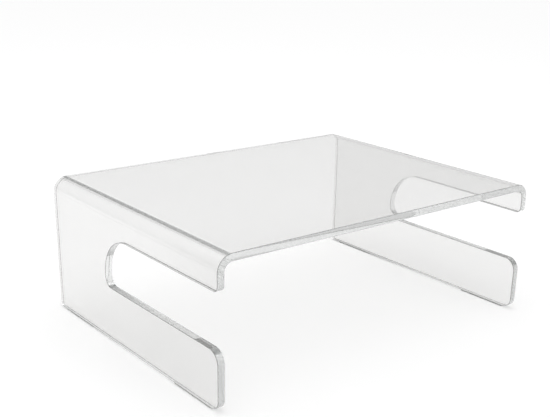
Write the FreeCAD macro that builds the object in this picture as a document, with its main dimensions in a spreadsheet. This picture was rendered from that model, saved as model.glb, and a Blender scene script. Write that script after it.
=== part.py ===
import FreeCAD, Part
import Sketcher
import os

# A monitor riser made from one clear acrylic sheet, line-bent into an upside-down U: a flat deck and
# two upright sides. Each side is open at the front in the shape of a C. A keyboard goes in there: it
# rests on the two lower jaws and sticks out past both sides. The cut edges stand on four thin clear
# anti-slip strips, and each strip is held on by its own adhesive film.
#
# Frame: millimetres. X runs across, Y from the front (-Y) to the back (+Y), Z up. The origin is the
# centre of the footprint, on the desk.

FRONT, REAR = -1, 1
LEFT, RIGHT = -1, 1

DIMENSIONS = {
    # whole stand
    "overall_width": 380.0,
    "overall_depth": 284.0,
    "overall_height": 137.0,
    # sheet and its two bends
    "sheet_thickness": 7.0,
    "bend_outer_radius": 15.0,
    "edge_break": 0.5,
    # C-shaped opening in each side
    "lower_jaw_height": 55.0,
    "slot_top_height": 106.0,
    "slot_depth": 184.0,
    "slot_upper_radius": 40.0,
    "slot_lower_radius": 10.0,
    "upper_jaw_radius": 6.0,
    "lower_jaw_radius": 12.5,
    "toe_radius": 10.0,
    "heel_radius": 3.0,
    # anti-slip strips under the cut edges, which stand on the desk
    "desk_level": 0.0,
    "strip_length": 58.0,
    "strip_width": 6.0,
    "strip_thickness": 1.0,
    "strip_corner_radius": 2.6,
    "strip_edge_break": 0.3,
    "strip_centre_from_middle": 102.0,
    "film_thickness": 0.2,
    "film_inset": 0.4,
}

# Values worked out from the ones above, as formulas of the sheet.
DERIVED = {
    "bend_inner_radius": "=bend_outer_radius - sheet_thickness",
    "half_width": "=overall_width / 2",
    "half_depth": "=overall_depth / 2",
    "inner_half_width": "=overall_width / 2 - sheet_thickness",
    "side_middle": "=overall_width / 2 - sheet_thickness / 2",
    "deck_underside": "=overall_height - sheet_thickness",
    "sheet_bottom": "=desk_level + strip_thickness + film_thickness",
    "slot_rear": "=slot_depth - overall_depth / 2",
    "film_level": "=desk_level + strip_thickness",
    "film_length": "=strip_length - 2 * film_inset",
    "film_width": "=strip_width - 2 * film_inset",
    "film_corner_radius": "=strip_corner_radius - film_inset",
}

LENGTH_TOLERANCE = 1e-4
VOLUME_TOLERANCE = 1e-3
CUT_OVERSHOOT = 10.0
SHARP_ANGLE_COSINE = 0.9


def make_sheet(doc):
    """The spreadsheet of driving dimensions, one named cell each."""
    cells = doc.addObject("Spreadsheet::Sheet", "Sizes")
    for row, (alias, value) in enumerate({**DIMENSIONS, **DERIVED}.items(), start=1):
        cells.set(f"A{row}", alias)
        cells.set(f"B{row}", str(value))
        cells.setAlias(f"B{row}", alias)
    doc.recompute()
    return cells


def new_body(doc, label):
    body = doc.addObject("PartDesign::Body", label)
    body.Label = label
    return body


def new_sketch(body, name, plane_role):
    """An empty sketch on one of the body's own origin planes."""
    plane = next(f for f in body.Origin.OriginFeatures if f.Role == plane_role)
    sketch = body.newObject("Sketcher::SketchObject", name)
    sketch.AttachmentSupport = [(plane, "")]
    sketch.MapMode = "FlatFace"
    return sketch


def draw_rectangle(sketch, left, right, bottom, top):
    """A closed rectangle whose four sides are bound to formulas of the spreadsheet."""
    unit = 10.0
    corners = [(-unit, -unit), (unit, -unit), (unit, unit), (-unit, unit)]
    for start, end in zip(corners, corners[1:] + corners[:1]):
        sketch.addGeometry(Part.LineSegment(FreeCAD.Vector(*start, 0), FreeCAD.Vector(*end, 0)))
    for side in range(4):
        sketch.addConstraint(Sketcher.Constraint("Coincident", side, 2, (side + 1) % 4, 1))
    for side in (0, 2):
        sketch.addConstraint(Sketcher.Constraint("Horizontal", side))
    for side in (1, 3):
        sketch.addConstraint(Sketcher.Constraint("Vertical", side))
    limits = (
        ("left", "DistanceX", 0, 1, left),
        ("right", "DistanceX", 0, 2, right),
        ("bottom", "DistanceY", 0, 1, bottom),
        ("top", "DistanceY", 2, 1, top),
    )
    for name, kind, line, end, formula in limits:
        start_value = -unit if name in ("left", "bottom") else unit
        index = sketch.addConstraint(Sketcher.Constraint(kind, -1, 1, line, end, start_value))
        sketch.renameConstraint(index, name)
        sketch.setExpression(f"Constraints.{name}", formula)


def add_pad(body, sketch, name, length, symmetric=False):
    pad = body.newObject("PartDesign::Pad", name)
    pad.Profile = sketch
    pad.SideType = "Symmetric" if symmetric else "One side"
    pad.setExpression("Length", length)
    body.Document.recompute()
    return pad


def add_through_pocket(body, sketch, name, removed_volume):
    """A pocket through everything on both sides of its sketch. The volume it takes away is compared."""
    before = body.Shape.Volume
    pocket = body.newObject("PartDesign::Pocket", name)
    pocket.Profile = sketch
    pocket.SideType = "Symmetric"
    pocket.Type = "ThroughAll"
    body.Document.recompute()
    removed = before - body.Shape.Volume
    if abs(removed - removed_volume) > VOLUME_TOLERANCE * removed_volume:
        raise RuntimeError(f"{name} took away {removed:.1f} mm3, not {removed_volume:.1f} mm3")
    return pocket


def edges_through(feature, axis, corners):
    """Names of the feature's straight edges that run along an axis and pass through given corners.

    A corner is given by its two other coordinates, in X, Y, Z order.
    """
    along = "XYZ".index(axis)
    names = []
    for number, edge in enumerate(feature.Shape.Edges, start=1):
        if not isinstance(edge.Curve, Part.Line):
            continue
        if abs(abs(edge.Curve.Direction[along]) - 1.0) > LENGTH_TOLERANCE:
            continue
        place = [value for index, value in enumerate(edge.Vertexes[0].Point) if index != along]
        for corner in corners:
            if max(abs(a - b) for a, b in zip(place, corner)) < LENGTH_TOLERANCE:
                names.append(f"Edge{number}")
    return names


def sharp_edges(feature):
    """Names of the edges where two faces meet at an angle, and not in a smooth blend."""
    names = []
    for number, edge in enumerate(feature.Shape.Edges, start=1):
        middle = edge.valueAt((edge.FirstParameter + edge.LastParameter) / 2)
        faces = feature.Shape.ancestorsOfType(edge, Part.Face)
        normals = [face.normalAt(*face.Surface.parameter(middle)) for face in faces]
        if len(normals) == 2 and normals[0].dot(normals[1]) < SHARP_ANGLE_COSINE:
            names.append(f"Edge{number}")
    return names


def add_fillet(body, name, edges, expected_edges, radius):
    """Round the named edges of the body's tip."""
    if len(edges) != expected_edges:
        raise RuntimeError(f"{name} found {len(edges)} edges, not {expected_edges}")
    fillet = body.newObject("PartDesign::Fillet", name)
    fillet.Base = (fillet.BaseFeature, edges)
    fillet.setExpression("Radius", radius)
    body.Document.recompute()
    return fillet


def make_riser(doc, sizes):
    """The bent acrylic sheet: deck, two bends and two C-shaped sides, all one piece."""
    body = new_body(doc, "acrylic_riser")

    outline = new_sketch(body, "OuterOutline", "XZ_Plane")
    draw_rectangle(
        outline, "-Sizes.half_width", "Sizes.half_width", "Sizes.sheet_bottom", "Sizes.overall_height"
    )
    add_pad(body, outline, "Block", "Sizes.overall_depth", symmetric=True)

    # the space under the deck, which leaves the sheet's thickness at the top and on both sides
    inside = new_sketch(body, "SpaceUnderDeck", "XZ_Plane")
    draw_rectangle(
        inside,
        "-Sizes.inner_half_width",
        "Sizes.inner_half_width",
        f"Sizes.sheet_bottom - {CUT_OVERSHOOT}",
        "Sizes.deck_underside",
    )
    inside_height = sizes.deck_underside - sizes.sheet_bottom
    tip = add_through_pocket(
        body,
        inside,
        "ClearUnderDeck",
        2 * sizes.inner_half_width * inside_height * sizes.overall_depth,
    )

    outer_corners = [(side * sizes.half_width, sizes.overall_height) for side in (LEFT, RIGHT)]
    tip = add_fillet(
        body, "BendOutside", edges_through(tip, "Y", outer_corners), 2, "Sizes.bend_outer_radius"
    )
    inner_corners = [(side * sizes.inner_half_width, sizes.deck_underside) for side in (LEFT, RIGHT)]
    tip = add_fillet(
        body, "BendInside", edges_through(tip, "Y", inner_corners), 2, "Sizes.bend_inner_radius"
    )

    # the opening that makes each side a C; one cut goes through both sides
    slot = new_sketch(body, "KeyboardSlot", "YZ_Plane")
    draw_rectangle(
        slot,
        f"-Sizes.half_depth - {CUT_OVERSHOOT}",
        "Sizes.slot_rear",
        "Sizes.lower_jaw_height",
        "Sizes.slot_top_height",
    )
    slot_height = sizes.slot_top_height - sizes.lower_jaw_height
    tip = add_through_pocket(
        body, slot, "CutKeyboardSlot", 2 * sizes.sheet_thickness * sizes.slot_depth * slot_height
    )

    front = -sizes.half_depth
    corners = (
        ("SlotUpperCorner", (sizes.slot_rear, sizes.slot_top_height), "Sizes.slot_upper_radius"),
        ("SlotLowerCorner", (sizes.slot_rear, sizes.lower_jaw_height), "Sizes.slot_lower_radius"),
        ("UpperJawTip", (front, sizes.slot_top_height), "Sizes.upper_jaw_radius"),
        ("LowerJawTip", (front, sizes.lower_jaw_height), "Sizes.lower_jaw_radius"),
        ("Toe", (front, sizes.sheet_bottom), "Sizes.toe_radius"),
        ("Heel", (sizes.half_depth, sizes.sheet_bottom), "Sizes.heel_radius"),
    )
    for name, corner, radius in corners:
        tip = add_fillet(body, name, edges_through(tip, "X", [corner]), 2, radius)

    # every cut edge is deburred: one closed line round the outer face, and one round the inner face
    edges = sharp_edges(tip)
    add_fillet(body, "EdgeBreak", edges, len(edges), "Sizes.edge_break")
    return body


def make_strip(doc, label, length, width, corner_radius, thickness, bottom_break=None):
    """A flat strip with rounded corners, centred on its own origin, with its underside at Z = 0."""
    body = new_body(doc, label)
    outline = new_sketch(body, f"{label}_outline", "XY_Plane")
    draw_rectangle(
        outline, f"-{width} / 2", f"{width} / 2", f"-{length} / 2", f"{length} / 2"
    )
    tip = add_pad(body, outline, f"{label}_pad", thickness)
    box = tip.Shape.BoundBox
    corners = [(x, y) for x in (box.XMin, box.XMax) for y in (box.YMin, box.YMax)]
    tip = add_fillet(body, f"{label}_corners", edges_through(tip, "Z", corners), 4, corner_radius)
    if bottom_break:
        lowest = [
            f"Edge{number}"
            for number, edge in enumerate(tip.Shape.Edges, start=1)
            if edge.BoundBox.ZMax < LENGTH_TOLERANCE
        ]
        add_fillet(body, f"{label}_edge", lowest, 8, bottom_break)
    return body


def place_under_side(body, side, end, height):
    """Move a strip or film below the cut edge of one side, at the front or the rear."""
    body.setExpression(".Placement.Base.x", f"{side} * Sizes.side_middle")
    body.setExpression(".Placement.Base.y", f"{end} * Sizes.strip_centre_from_middle")
    body.setExpression(".Placement.Base.z", height)


def make_feet(doc):
    """The four anti-slip strips on the desk, and the adhesive film on top of each one."""
    bodies = []
    for end_name, end in (("front", FRONT), ("rear", REAR)):
        for side_name, side in (("left", LEFT), ("right", RIGHT)):
            strip = make_strip(
                doc,
                f"foot_strip_{end_name}_{side_name}",
                "Sizes.strip_length",
                "Sizes.strip_width",
                "Sizes.strip_corner_radius",
                "Sizes.strip_thickness",
                bottom_break="Sizes.strip_edge_break",
            )
            place_under_side(strip, side, end, "Sizes.desk_level")
            film = make_strip(
                doc,
                f"foot_adhesive_{end_name}_{side_name}",
                "Sizes.film_length",
                "Sizes.film_width",
                "Sizes.film_corner_radius",
                "Sizes.film_thickness",
            )
            place_under_side(film, side, end, "Sizes.film_level")
            bodies += [strip, film]
    return bodies


def check_document(doc, bodies):
    """Stop if anything in the document failed, or a sub-part isn't one valid solid."""
    for item in doc.Objects:
        if {"Invalid", "Error"} & set(item.State):
            raise RuntimeError(f"{item.Label} is {item.State}")
    for body in bodies:
        shape = body.Shape
        if shape.isNull() or not shape.isValid() or len(shape.Solids) != 1:
            raise RuntimeError(f"{body.Label} is not one valid solid")


def write_parts(bodies):
    os.makedirs("parts", exist_ok=True)
    for body in bodies:
        body.Shape.exportStep(f"parts/{body.Label}.step")
        box = body.Shape.optimalBoundingBox(True, False)
        size = f"{box.XLength:.2f} x {box.YLength:.2f} x {box.ZLength:.2f} mm"
        print(f"{body.Label}: {size}, {body.Shape.Volume:.1f} mm3")


def main():
    doc = FreeCAD.newDocument("monitor_riser")
    sizes = make_sheet(doc)
    bodies = [make_riser(doc, sizes)] + make_feet(doc)
    doc.recompute()
    check_document(doc, bodies)
    write_parts(bodies)


main()
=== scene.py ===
import math

import bpy
from mathutils import Matrix, Vector


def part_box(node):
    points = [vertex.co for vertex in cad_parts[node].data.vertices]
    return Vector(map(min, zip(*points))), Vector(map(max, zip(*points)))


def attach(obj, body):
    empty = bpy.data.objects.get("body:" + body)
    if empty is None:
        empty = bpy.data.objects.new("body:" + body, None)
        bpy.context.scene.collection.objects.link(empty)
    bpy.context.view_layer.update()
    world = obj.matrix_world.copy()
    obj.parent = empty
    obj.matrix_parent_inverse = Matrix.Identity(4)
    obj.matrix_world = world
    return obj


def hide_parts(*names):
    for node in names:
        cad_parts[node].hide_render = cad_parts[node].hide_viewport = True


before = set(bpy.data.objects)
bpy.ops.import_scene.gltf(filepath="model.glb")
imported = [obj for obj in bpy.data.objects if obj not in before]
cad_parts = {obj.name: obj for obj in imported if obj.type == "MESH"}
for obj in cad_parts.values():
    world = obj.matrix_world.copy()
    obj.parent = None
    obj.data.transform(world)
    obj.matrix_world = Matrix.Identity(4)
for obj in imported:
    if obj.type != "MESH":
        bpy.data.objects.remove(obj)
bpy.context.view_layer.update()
MM = 0.001

# ---------------------------------------------------------------- sizes of the bent sheet
# The outer box is the CAD sheet's, and the other sizes are the same as in the CAD model.
sheet_low, sheet_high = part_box("acrylic_riser")
SHEET_THICKNESS = 7 * MM
BEND_OUTER_RADIUS = 15 * MM
LOWER_JAW_HEIGHT = 55 * MM
SLOT_TOP_HEIGHT = 106 * MM
SLOT_DEPTH = 184 * MM
SLOT_UPPER_RADIUS = 40 * MM
SLOT_LOWER_RADIUS = 10 * MM
UPPER_JAW_RADIUS = 6 * MM
LOWER_JAW_RADIUS = 12.5 * MM
TOE_RADIUS = 10 * MM
HEEL_RADIUS = 3 * MM
# Every rim between a large face and the cut edge is rounded by this radius.
EDGE_BREAK = 0.5 * MM

# How many steps a bend, an outline corner and a rounded rim are divided into.
BEND_STEPS = 48
CORNER_STEPS = 22
BREAK_STEPS = 5

front, rear = sheet_low.y, sheet_high.y
slot_rear = front + SLOT_DEPTH
bottom, top = sheet_low.z, sheet_high.z
half_width = sheet_high.x

# The blank is laid out flat: u runs outwards from the middle of the deck, along the deck, round the bend
# and down a side. v is the front-to-back position, as in the frame.
deck_half = half_width - BEND_OUTER_RADIUS
BEND_LENGTH = math.pi / 2 * (BEND_OUTER_RADIUS - SHEET_THICKNESS / 2)
bend_end = deck_half + BEND_LENGTH
side_top = top - BEND_OUTER_RADIUS

# Which material a face of the sheet has, and the UV layer that the cut edge's material reads.
FACE, EDGE = 0, 1
EDGE_RUN = "edge_run"


# ---------------------------------------------------------------- the bent sheet
def u_at(height):
    """The blank's u of a height on the flat part of a side."""
    return bend_end + side_top - height


def rounded_corner(before, corner, after, radius):
    """Points (u, v, nu, nv) round one corner of the outline, from the run before it to the run after it."""
    turn = before.x * after.y - before.y * after.x
    way = 1 if turn > 0 else -1
    # The outline runs anticlockwise, so the outside is on its right.
    start_normal = Vector((before.y, -before.x))
    centre = corner - before * radius - start_normal * radius * way
    points = []
    for step in range(CORNER_STEPS + 1):
        angle = math.radians(90) * step / CORNER_STEPS * way
        cosine, sine = math.cos(angle), math.sin(angle)
        normal_u = start_normal.x * cosine - start_normal.y * sine
        normal_v = start_normal.x * sine + start_normal.y * cosine
        normal = Vector((normal_u, normal_v))
        place = centre + normal * radius * way
        points.append((place.x, place.y, normal.x, normal.y))
    return points


def right_half_outline():
    """The right half of the blank's outline, from the front to the rear, as (u, v, nu, nv).

    (nu, nv) is the outward normal. The first and last runs are the bend's, divided into BEND_STEPS.
    """
    foot = u_at(bottom)
    corners = [
        (u_at(SLOT_TOP_HEIGHT), front, UPPER_JAW_RADIUS),
        (u_at(SLOT_TOP_HEIGHT), slot_rear, SLOT_UPPER_RADIUS),
        (u_at(LOWER_JAW_HEIGHT), slot_rear, SLOT_LOWER_RADIUS),
        (u_at(LOWER_JAW_HEIGHT), front, LOWER_JAW_RADIUS),
        (foot, front, TOE_RADIUS),
        (foot, rear, HEEL_RADIUS),
    ]
    bend_steps = [deck_half + BEND_LENGTH * k / BEND_STEPS for k in range(BEND_STEPS + 1)]
    path = [Vector((bend_end, front))]
    path += [Vector((u, v)) for u, v, _ in corners]
    path.append(Vector((bend_end, rear)))
    points = [(u, front, 0.0, -1.0) for u in bend_steps]
    for k, (_, _, radius) in enumerate(corners, start=1):
        before = (path[k] - path[k - 1]).normalized()
        after = (path[k + 1] - path[k]).normalized()
        points += rounded_corner(before, path[k], after, radius)
    points += [(u, rear, 0.0, 1.0) for u in reversed(bend_steps)]
    return points


def bent(u, v, depth, nu, nv, nd):
    """A point of the blank and its normal, bent into the stand.

    depth is the distance below the outer face, and nd is the normal's part in that direction.
    """
    side = 1 if u >= 0 else -1
    u, nu = abs(u), nu * side
    if u <= deck_half:
        place = Vector((u, v, top - depth))
        along, down = Vector((1, 0, 0)), Vector((0, 0, -1))
    elif u >= bend_end:
        place = Vector((half_width - depth, v, side_top - (u - bend_end)))
        along, down = Vector((0, 0, -1)), Vector((-1, 0, 0))
    else:
        angle = math.pi / 2 * (u - deck_half) / BEND_LENGTH
        out = Vector((math.sin(angle), 0, math.cos(angle)))
        place = Vector((deck_half, v, side_top)) + out * (BEND_OUTER_RADIUS - depth)
        along, down = Vector((math.cos(angle), 0, -math.sin(angle))), -out
    normal = along * nu + Vector((0, 1, 0)) * nv + down * nd
    place.x *= side
    normal.x *= side
    return place, normal


def edge_rings():
    """The rings of points from one large face over the cut edge to the other: (inset, depth, out, nd).

    inset is how far a ring lies inside the outline, out and nd are its normal's outward and depth parts.
    """
    rings = []
    for step in range(BREAK_STEPS + 1):
        angle = math.pi / 2 * step / BREAK_STEPS
        inset = EDGE_BREAK * (1 - math.sin(angle))
        depth = EDGE_BREAK * (1 - math.cos(angle))
        rings.append((inset, depth, math.sin(angle), -math.cos(angle)))
    inner_face = [(inset, SHEET_THICKNESS - depth, out, -nd) for inset, depth, out, nd in reversed(rings)]
    return rings + inner_face


def face_panels(count, half):
    """The outline points of each panel of a large face: both sides, the strips of both bends, the deck."""
    panels = []
    for start in (0, half):
        panels.append([start + k for k in range(BEND_STEPS, half - BEND_STEPS)])
        for k in range(BEND_STEPS):
            opposite = start + half - 1 - k
            panels.append([start + k, start + k + 1, opposite - 1, opposite])
    panels.append([0, half - 1, half, count - 1])
    return panels


def add_edge_run(mesh, outline, rings):
    """UVs of the cut edge in metres: U is the distance along the outline, V the distance across the edge."""
    count = len(outline)
    along, across = [0.0], [0.0]
    for k in range(count):
        here, there = outline[k], outline[(k + 1) % count]
        along.append(along[-1] + math.dist(here[:2], there[:2]))
    for ring, next_ring in zip(rings, rings[1:]):
        across.append(across[-1] + math.dist(ring[:2], next_ring[:2]))
    layer = mesh.uv_layers.new(name=EDGE_RUN)
    for poly in mesh.polygons:
        if poly.material_index == FACE:
            continue
        places = [mesh.loops[k].vertex_index % count for k in poly.loop_indices]
        closes_the_outline = 0 in places and count - 1 in places
        for k, place in zip(poly.loop_indices, places):
            if closes_the_outline and place == 0:
                place = count
            layer.data[k].uv = (along[place], across[mesh.loops[k].vertex_index // count])


def make_sheet():
    """The whole sheet as one closed mesh, with exact normals."""
    right = right_half_outline()
    left = [(-u, v, -nu, nv) for u, v, nu, nv in reversed(right)]
    outline = right + left
    count, half = len(outline), len(right)
    rings = edge_rings()

    verts, normals = [], []
    for inset, depth, out, nd in rings:
        for u, v, nu, nv in outline:
            place, normal = bent(u - nu * inset, v - nv * inset, depth, nu * out, nv * out, nd)
            verts.append(place)
            normals.append(tuple(normal.normalized()))

    faces, looks = [], []
    for ring in range(len(rings) - 1):
        here, there = ring * count, (ring + 1) * count
        for k in range(count):
            after = (k + 1) % count
            faces.append((here + k, there + k, there + after, here + after))
            looks.append(EDGE)
    inner = (len(rings) - 1) * count
    for panel in face_panels(count, half):
        faces.append(tuple(panel))
        looks.append(FACE)
    for panel in face_panels(count, half):
        faces.append(tuple(inner + k for k in reversed(panel)))
        looks.append(FACE)

    mesh = bpy.data.meshes.new("bent_sheet")
    mesh.from_pydata(verts, [], faces)
    for poly, look in zip(mesh.polygons, looks):
        poly.use_smooth = True
        poly.material_index = look
    mesh.update()
    add_edge_run(mesh, outline, rings)
    mesh.normals_split_custom_set_from_vertices(normals)
    return mesh


# ---------------------------------------------------------------- materials
class Nodes:
    """A material's node tree, with short ways to add and join nodes."""

    def __init__(self, name):
        self.material = bpy.data.materials.new(name)
        self.material.use_nodes = True
        self.tree = self.material.node_tree
        self.shader = self.tree.nodes["Principled BSDF"]
        self.output = self.tree.nodes["Material Output"]
        self.place = self.add("ShaderNodeTexCoord").outputs["Object"]

    def add(self, kind, **values):
        node = self.tree.nodes.new(kind)
        for name, value in values.items():
            setattr(node, name, value)
        return node

    def join(self, source, target):
        self.tree.links.new(source, target)

    def stretched(self, scale, vector=None, turn=0.0):
        """A place scaled by (x, y, z) and turned about Z by an angle in degrees."""
        node = self.add("ShaderNodeMapping")
        node.inputs["Rotation"].default_value = (0, 0, math.radians(turn))
        node.inputs["Scale"].default_value = scale
        self.join(vector or self.place, node.inputs["Vector"])
        return node.outputs["Vector"]

    def parts(self, vector):
        """The X, Y and Z of a place."""
        node = self.add("ShaderNodeSeparateXYZ")
        self.join(vector, node.inputs["Vector"])
        return node.outputs["X"], node.outputs["Y"], node.outputs["Z"]

    def noise(self, scale=1.0, detail=3.0, roughness=0.5, vector=None, distortion=0.0):
        """Noise from 0 to 1. With the object's place as the vector, scale is in waves per metre."""
        node = self.add("ShaderNodeTexNoise")
        node.inputs["Scale"].default_value = scale
        node.inputs["Detail"].default_value = detail
        node.inputs["Roughness"].default_value = roughness
        node.inputs["Distortion"].default_value = distortion
        self.join(vector or self.place, node.inputs["Vector"])
        return node.outputs["Fac"]

    def ranged(self, source, low, high, to_low=0.0, to_high=1.0, smooth=False):
        """A value moved from one range to another, and held at its ends."""
        node = self.add("ShaderNodeMapRange")
        node.interpolation_type = "SMOOTHSTEP" if smooth else "LINEAR"
        for name, value in (("From Min", low), ("From Max", high), ("To Min", to_low), ("To Max", to_high)):
            node.inputs[name].default_value = value
        self.join(source, node.inputs["Value"])
        return node.outputs["Result"]

    def maths(self, operation, *values):
        node = self.add("ShaderNodeMath", operation=operation)
        for socket, value in zip(node.inputs, values):
            if isinstance(value, (int, float)):
                socket.default_value = value
            else:
                self.join(value, socket)
        return node.outputs["Value"]

    def blended(self, factor, first, second):
        """The first colour where the factor is 0, the second where it is 1."""
        node = self.add("ShaderNodeMix", data_type="RGBA")
        self.join(factor, node.inputs["Factor"])
        node.inputs["A"].default_value = (*first, 1)
        node.inputs["B"].default_value = (*second, 1)
        return node.outputs["Result"]

    def bump(self, height, distance, normal=None):
        """A normal tilted by a height from 0 to 1 that stands for a distance, on top of another normal."""
        node = self.add("ShaderNodeBump")
        node.inputs["Strength"].default_value = 1.0
        node.inputs["Distance"].default_value = distance
        self.join(height, node.inputs["Height"])
        if normal:
            self.join(normal, node.inputs["Normal"])
        return node.outputs["Normal"]

    def put(self, **values):
        """Sets a number or colour on the shader's own socket, and joins a pattern to it."""
        for name, value in values.items():
            socket = self.shader.inputs[name.replace("_", " ")]
            if isinstance(value, (int, float, tuple)):
                socket.default_value = value
            else:
                self.join(value, socket)


ACRYLIC_IOR = 1.491
POLYURETHANE_IOR = 1.5
ADHESIVE_IOR = 1.47
# Behind the cut edges light goes a long way through the sheet, and comes out a little darker.
ABSORBED_COLOUR = (0.5, 0.515, 0.51, 1)
ABSORPTION_PER_METRE = 1.0
# Heating for a bend leaves a faint ripple this far into the flat sheet beside it.
RIPPLE_REACH = 18 * MM
# How much the noise rises from the side of a scratch to its middle.
SCRATCH_RISE = 0.05


def hairlines(m, turn, length, width, rarity):
    """Fine scratches in one direction: 1 on a scratch, 0 off it. The nearer rarity is to 1, the fewer."""
    place = m.stretched((1 / width, 1 / length, 1 / width), turn=turn)
    return m.ranged(m.noise(detail=0.0, roughness=0.0, vector=place), rarity, rarity + SCRATCH_RISE)


def near_bends(m):
    """1 where the sheet was heated for bending, and 0 on the flat deck and sides."""
    x, _, z = m.parts(m.place)
    sideways = m.ranged(m.maths("ABSOLUTE", x), deck_half - RIPPLE_REACH, deck_half)
    upwards = m.ranged(z, side_top - RIPPLE_REACH, side_top)
    return m.maths("MULTIPLY", sideways, upwards)


def make_clear_acrylic(m):
    """What the sheet's faces and its cut edge share."""
    m.put(IOR=ACRYLIC_IOR, Transmission_Weight=1.0)
    node = m.add("ShaderNodeVolumeAbsorption")
    node.inputs["Color"].default_value = ABSORBED_COLOUR
    node.inputs["Density"].default_value = ABSORPTION_PER_METRE
    m.join(node.outputs["Volume"], m.output.inputs["Volume"])


def polished_face():
    """The two large faces: glossy, with faint smudges, hairline scratches and a ripple at the bends."""
    m = Nodes("clear_acrylic_face")
    make_clear_acrylic(m)
    tone = m.noise(14.0, detail=2.0)
    m.put(Base_Color=m.blended(tone, (0.850, 0.848, 0.843), (0.872, 0.871, 0.867)))

    long_scratches = hairlines(m, turn=8, length=60 * MM, width=0.7 * MM, rarity=0.78)
    short_scratches = hairlines(m, turn=-37, length=35 * MM, width=0.6 * MM, rarity=0.79)
    scratches = m.maths("MAXIMUM", long_scratches, short_scratches)
    smudges = m.ranged(m.noise(22.0, detail=5.0, roughness=0.62), 0.5, 0.72, 0.003, 0.022)
    m.put(Roughness=m.maths("MULTIPLY_ADD", scratches, 0.05, smudges))

    ripple = m.maths("MULTIPLY", m.noise(55.0, detail=1.0), near_bends(m))
    normal = m.bump(m.noise(7.0, detail=1.0), 0.02 * MM)
    normal = m.bump(ripple, 0.01 * MM, normal)
    m.put(Normal=m.bump(scratches, 0.0015 * MM, normal))
    return m.material


def cut_edge():
    """The polished cut edge: faint tool marks across it, and a satin line on each rounded rim, also painted
    dark as painted shade.
    """
    m = Nodes("clear_acrylic_edge")
    make_clear_acrylic(m)
    run = m.add("ShaderNodeUVMap", uv_map=EDGE_RUN).outputs["UV"]
    marks = m.noise(detail=2.0, vector=m.stretched((900.0, 40.0, 1.0), run))
    buffing = m.noise(detail=2.0, vector=m.stretched((30.0, 1500.0, 1.0), run))

    _, across, _ = m.parts(run)
    # Half the way across the edge, with both rounded rims. The satin line, painted dark as painted shade,
    # covers each rim.
    middle = (SHEET_THICKNESS - 2 * EDGE_BREAK + math.pi * EDGE_BREAK) / 2
    off_middle = m.maths("ABSOLUTE", m.maths("SUBTRACT", across, middle))
    satin_rim_and_painted_shade = m.ranged(off_middle, middle - 1.6 * EDGE_BREAK, middle - 1.2 * EDGE_BREAK)
    # Each rim's colour is painted shade, a dark line along the edge; the extra roughness on it is real
    # satin.
    m.put(Base_Color=m.blended(satin_rim_and_painted_shade, (0.865, 0.868, 0.865), (0.36, 0.365, 0.36)))
    polish = m.ranged(m.maths("ADD", marks, buffing), 0.7, 1.3, 0.01, 0.04)
    m.put(Roughness=m.maths("MULTIPLY_ADD", satin_rim_and_painted_shade, 0.2, polish))

    normal = m.bump(m.noise(90.0, detail=2.0), 0.002 * MM)
    normal = m.bump(marks, 0.0005 * MM, normal)
    m.put(Normal=m.bump(buffing, 0.0004 * MM, normal))
    return m.material


def polyurethane():
    """The anti-slip strips: clear, slightly milky and satin, with a fine moulded grain and grey dust. Their
    grey is painted darker as painted contact shade under the feet.
    """
    m = Nodes("clear_polyurethane")
    dust = m.noise(160.0, detail=4.0, roughness=0.65)
    grain = m.noise(1400.0, detail=3.0, roughness=0.6)
    # The strips' darker grey is painted contact shade under the feet; the patches follow the dust.
    m.put(Base_Color=m.blended(m.ranged(dust, 0.4, 0.7), (0.62, 0.63, 0.62), (0.46, 0.47, 0.46)))
    m.put(Roughness=m.ranged(m.maths("ADD", dust, grain), 0.7, 1.3, 0.28, 0.5))
    m.put(Normal=m.bump(grain, 0.015 * MM))
    m.put(IOR=POLYURETHANE_IOR, Transmission_Weight=0.55)
    return m.material


def adhesive():
    """The films: clear adhesive that has wetted the cut edge, with duller islands where it hasn't."""
    m = Nodes("clear_adhesive")
    islands = m.ranged(m.noise(420.0, detail=3.0, roughness=0.55, distortion=0.6), 0.46, 0.56)
    m.put(Base_Color=m.blended(islands, (0.84, 0.84, 0.81), (0.70, 0.70, 0.68)))
    m.put(Roughness=m.ranged(islands, 0.0, 1.0, 0.12, 0.42))
    m.put(Normal=m.bump(islands, 0.01 * MM))
    m.put(IOR=ADHESIVE_IOR, Transmission_Weight=0.7)
    return m.material


# ---------------------------------------------------------------- the pieces
scene = bpy.context.scene
sheet = bpy.data.objects.new("riser_sheet", make_sheet())
scene.collection.objects.link(sheet)
# The order is that of FACE and EDGE.
for look in (polished_face(), cut_edge()):
    sheet.data.materials.append(look)
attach(sheet, "root")
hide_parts("acrylic_riser")

for prefix, look in (("foot_strip", polyurethane()), ("foot_adhesive", adhesive())):
    for name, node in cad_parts.items():
        if name.startswith(prefix):
            for slot in node.material_slots:
                slot.material = look

# ---------------------------------------------------------------- floor, light and camera
# The floor is a square that reaches this far from the stand on each side.
FLOOR_REACH = 40.0
FLOOR_ALBEDO = 0.93
FLOOR_ROUGHNESS = 0.9
# The floor is painted darker on the viewer's side as painted shade: its albedo rises from the first Y to the
# second.
NEAR_FLOOR_Y = (-3.0, -0.7)
NEAR_FLOOR_PAINTED_SHADE_ALBEDO = 0.62
# Far out, between these distances, its tone becomes the horizon's, so that no line is seen there.
FLOOR_FADE = (4.0, 14.0)
HORIZON = 0.66
# The sky's brightness at the sine of each elevation.
SKY = [(0.0, HORIZON), (0.08, HORIZON), (0.22, 0.80), (0.4, 0.82), (0.6, 0.90), (0.85, 1.26)]

SOFTBOX_PLACE = (-0.2, 0.1, 1.9)
SOFTBOX_SIDE = 2.4
SOFTBOX_POWER = 5

CAMERA_PLACE = (-0.57084, -0.69564, 0.37797)
YAW, PITCH, ROLL = math.radians(39.449), math.radians(20.883), math.radians(1.330)
LENS, SENSOR = 60.81, 36.0
SHIFT_X, SHIFT_Y = -0.0308, 0.1229
CLIP_START, CLIP_END = 0.05, 60

# Light is piped along the sheet from edge to edge, which takes many bounces.
BOUNCES = 256


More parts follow.
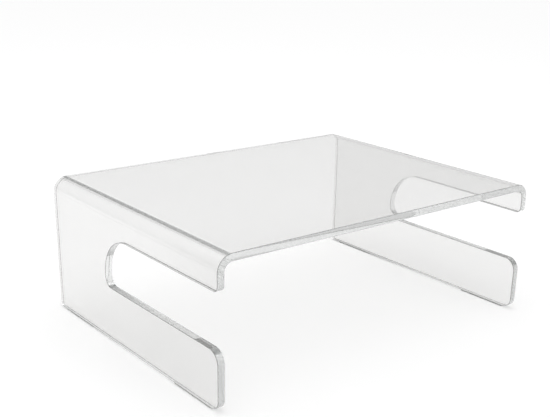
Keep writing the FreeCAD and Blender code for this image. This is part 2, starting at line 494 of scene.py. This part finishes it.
def make_floor():
    mesh = bpy.data.meshes.new("floor")
    corners = [(x * FLOOR_REACH, y * FLOOR_REACH, 0) for x, y in ((-1, -1), (1, -1), (1, 1), (-1, 1))]
    mesh.from_pydata(corners, [], [(0, 1, 2, 3)])
    floor = bpy.data.objects.new("floor", mesh)
    scene.collection.objects.link(floor)

    m = Nodes("floor")
    _, y, _ = m.parts(m.place)
    # Painted shade: the floor's colour darkens towards the viewer, in place of light falling off.
    albedo_with_painted_shade = m.ranged(y, *NEAR_FLOOR_Y, NEAR_FLOOR_PAINTED_SHADE_ALBEDO, FLOOR_ALBEDO)
    distance = m.add("ShaderNodeVectorMath", operation="LENGTH")
    m.join(m.place, distance.inputs[0])
    fade = m.add("ShaderNodeMix", data_type="FLOAT")
    m.join(m.ranged(distance.outputs["Value"], *FLOOR_FADE, smooth=True), fade.inputs["Factor"])
    m.join(albedo_with_painted_shade, fade.inputs["A"])
    fade.inputs["B"].default_value = HORIZON * FLOOR_ALBEDO
    m.put(Base_Color=fade.outputs["Result"], Roughness=FLOOR_ROUGHNESS, Specular_IOR_Level=0.0)
    mesh.materials.append(m.material)


def make_sky():
    world = bpy.data.worlds.new("studio")
    world.use_nodes = True
    scene.world = world
    tree = world.node_tree
    direction = tree.nodes.new("ShaderNodeTexCoord")
    split = tree.nodes.new("ShaderNodeSeparateXYZ")
    ramp = tree.nodes.new("ShaderNodeValToRGB")
    background = tree.nodes["Background"]
    tree.links.new(direction.outputs["Generated"], split.inputs["Vector"])
    tree.links.new(split.outputs["Z"], ramp.inputs["Fac"])
    tree.links.new(ramp.outputs["Color"], background.inputs["Color"])
    stops = ramp.color_ramp.elements
    while len(stops) < len(SKY):
        stops.new(0.5)
    for stop, (sine, brightness) in zip(stops, SKY):
        stop.position = sine
        stop.color = (brightness, brightness, brightness, 1)
    background.inputs["Strength"].default_value = 1.0


def make_softbox():
    light = bpy.data.lights.new("overhead_softbox", "AREA")
    light.shape = "RECTANGLE"
    light.size = light.size_y = SOFTBOX_SIDE
    light.energy = SOFTBOX_POWER
    softbox = bpy.data.objects.new("overhead_softbox", light)
    softbox.location = SOFTBOX_PLACE
    softbox.rotation_mode = "QUATERNION"
    softbox.rotation_quaternion = Vector(SOFTBOX_PLACE).to_track_quat("Z", "Y")
    scene.collection.objects.link(softbox)
    softbox.visible_camera = False


def make_camera():
    data = bpy.data.cameras.new("camera")
    data.lens, data.sensor_width = LENS, SENSOR
    data.shift_x, data.shift_y = SHIFT_X, SHIFT_Y
    data.clip_start, data.clip_end = CLIP_START, CLIP_END
    camera = bpy.data.objects.new("camera", data)
    ahead = Vector((math.sin(YAW) * math.cos(PITCH), math.cos(YAW) * math.cos(PITCH), -math.sin(PITCH)))
    level = Vector((math.cos(YAW), -math.sin(YAW), 0))
    above = level.cross(ahead)
    right_hand = level * math.cos(ROLL) + above * math.sin(ROLL)
    up_hand = above * math.cos(ROLL) - level * math.sin(ROLL)
    turned = Matrix((right_hand, up_hand, -ahead)).transposed().to_4x4()
    camera.matrix_world = Matrix.Translation(CAMERA_PLACE) @ turned
    scene.collection.objects.link(camera)
    scene.camera = camera


make_floor()
make_sky()
make_softbox()
make_camera()
scene.view_settings.view_transform = "Standard"
scene.cycles.max_bounces = BOUNCES
scene.cycles.glossy_bounces = BOUNCES
scene.cycles.transmission_bounces = BOUNCES
# The small bright spots on the rims stay crisp.
scene.cycles.blur_glossy = 0.0
